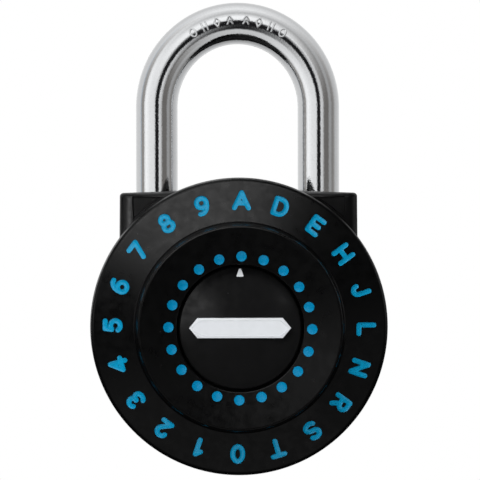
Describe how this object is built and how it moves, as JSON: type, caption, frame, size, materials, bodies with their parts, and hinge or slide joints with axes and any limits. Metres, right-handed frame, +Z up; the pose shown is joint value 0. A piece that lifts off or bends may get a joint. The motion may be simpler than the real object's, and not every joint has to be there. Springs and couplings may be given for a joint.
{
  "type": "dial combination padlock",
  "caption": "Dial combination padlock with a round letter and number dial, a black case and a chromed steel shackle that lifts on a spring, with its wheels and catch inside.",
  "frame": {"origin": "inner top of the shackle's crown, on the rod's centre plane, where the lock hangs", "axes": "+Z up along the shackle, -Y out of the dial's face, +X to the right as seen from the front"},
  "size_m": [0.0508, 0.0287, 0.0811],
  "materials": {
    "black_coat": "semi-gloss black coating",
    "black_plastic": "satin moulded black",
    "blue_ink": "blue paint fill",
    "white_ink": "white print",
    "chromed_steel": "polished",
    "zinc_casting": "as cast",
    "brass": "turned",
    "spring_steel": "drawn",
    "plain_steel": "turned",
    "acetal": "moulded"
  },
  "bodies": {
    "case": {"back_cover": "black_coat", "cap_badge": "white_ink", "case_body": "black_coat", "catch_pivot": "plain_steel", "catch_spring": "spring_steel", "centre_cap": "black_plastic", "centre_post": "plain_steel", "dial_bush": "acetal", "dial_washer": "spring_steel", "frame_screw_1": "plain_steel", "frame_screw_2": "plain_steel", "frame_screw_3": "plain_steel", "frame_screw_4": "plain_steel", "lock_frame": "zinc_casting", "retaining_pin": "plain_steel", "shackle_spring": "spring_steel", "spacer_front": "acetal", "spacer_rear": "acetal", "tension_washer": "spring_steel", "wheel_hub": "brass"},
    "dial": {"dial": "black_plastic", "dial_spindle": "plain_steel", "spindle_clip": "spring_steel", "drive_cam": "zinc_casting"},
    "wheel_1": {"wheel_1": "brass"},
    "wheel_2": {"wheel_2": "brass"},
    "shackle": {"shackle": "chromed_steel"},
    "catch": {"catch_lever": "plain_steel"}
  },
  "joints": [
    {"name": "dial_turn", "type": "hinge", "parent": "case", "child": "dial", "pos_m": [0, -0.015, -0.0486], "axis": [0, -1, 0], "continuous": true},
    {"name": "wheel_1_turn", "type": "hinge", "parent": "case", "child": "wheel_1", "pos_m": [0, 0.0024, -0.0486], "axis": [0, -1, 0], "continuous": true},
    {"name": "wheel_2_turn", "type": "hinge", "parent": "case", "child": "wheel_2", "pos_m": [0, -0.0002, -0.0486], "axis": [0, -1, 0], "continuous": true},
    {"name": "shackle_lift", "type": "slide", "parent": "case", "child": "shackle", "axis": [0, 0, 1], "range_m": [0, 0.013], "deforming": ["shackle_spring"]},
    {"name": "catch_turn", "type": "hinge", "parent": "case", "child": "catch", "pos_m": [0.006, 0, -0.0353], "axis": [0, -1, 0], "range_deg": [0, 134], "deforming": ["catch_spring"]}
  ],
  "couplings": [
    {"joint": "wheel_1_turn", "follows": "dial_turn", "ratio": 1},
    {"joint": "wheel_2_turn", "follows": "dial_turn", "ratio": 1},
    {"joint": "catch_turn", "follows": "shackle_lift", "rad_per_m": 178.57}
  ]
}
